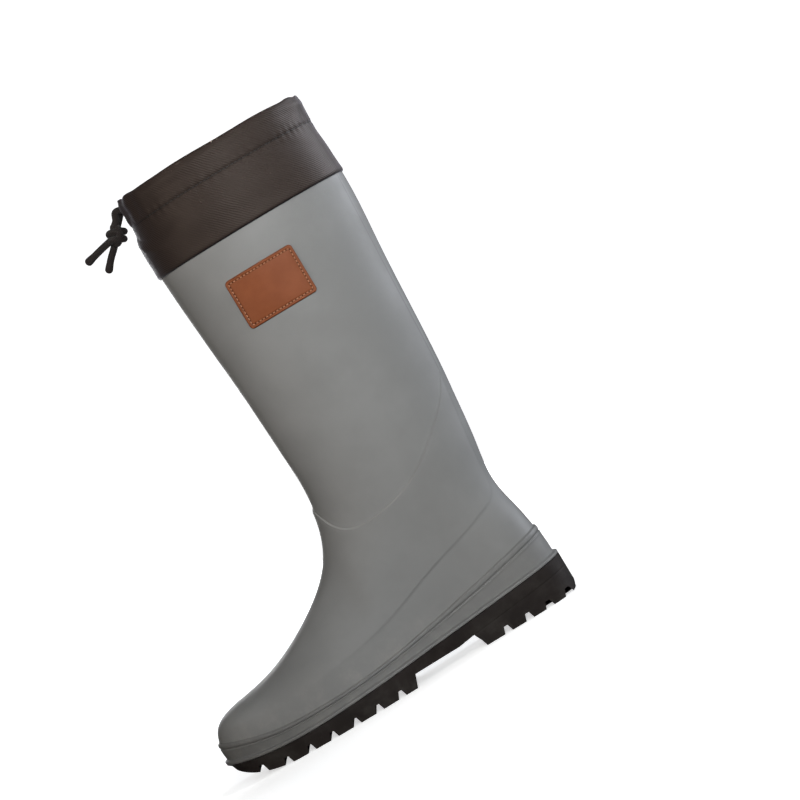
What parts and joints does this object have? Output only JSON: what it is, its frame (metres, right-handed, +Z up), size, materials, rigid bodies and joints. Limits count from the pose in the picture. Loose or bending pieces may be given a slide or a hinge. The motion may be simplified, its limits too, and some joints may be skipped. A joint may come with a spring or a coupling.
{
  "type": "rubber boot",
  "caption": "Knee-high left rubber boot: hollow moulded upper, lugged sole with heel, fabric gaiter collar with a knotted drawcord and a bare leather patch.",
  "frame": {"origin": "on the floor, below the middle of the boot's box, measured without the drawcord", "axes": "+X to the toe, +Y to the outer side of this left boot, +Z up the shaft"},
  "size_m": [0.297, 0.1208, 0.4117],
  "materials": {
    "grey_rubber": "satin moulded rubber",
    "black_rubber": "matt moulded rubber",
    "gaiter_cloth": "coated woven cloth with a slight sheen",
    "tan_leather": "smooth tan leather",
    "insole_felt": "felted foot bed",
    "black_cord": "braided cord"
  },
  "bodies": {
    "root": {"upper": "grey_rubber", "outsole": "black_rubber", "insole": "insole_felt", "gaiter": "gaiter_cloth", "patch": "tan_leather", "drawcord_knot": "black_cord", "drawcord_lead_outer": "black_cord", "drawcord_lead_inner": "black_cord", "drawcord_end_outer": "black_cord", "drawcord_end_inner": "black_cord"}
  },
  "joints": []
}
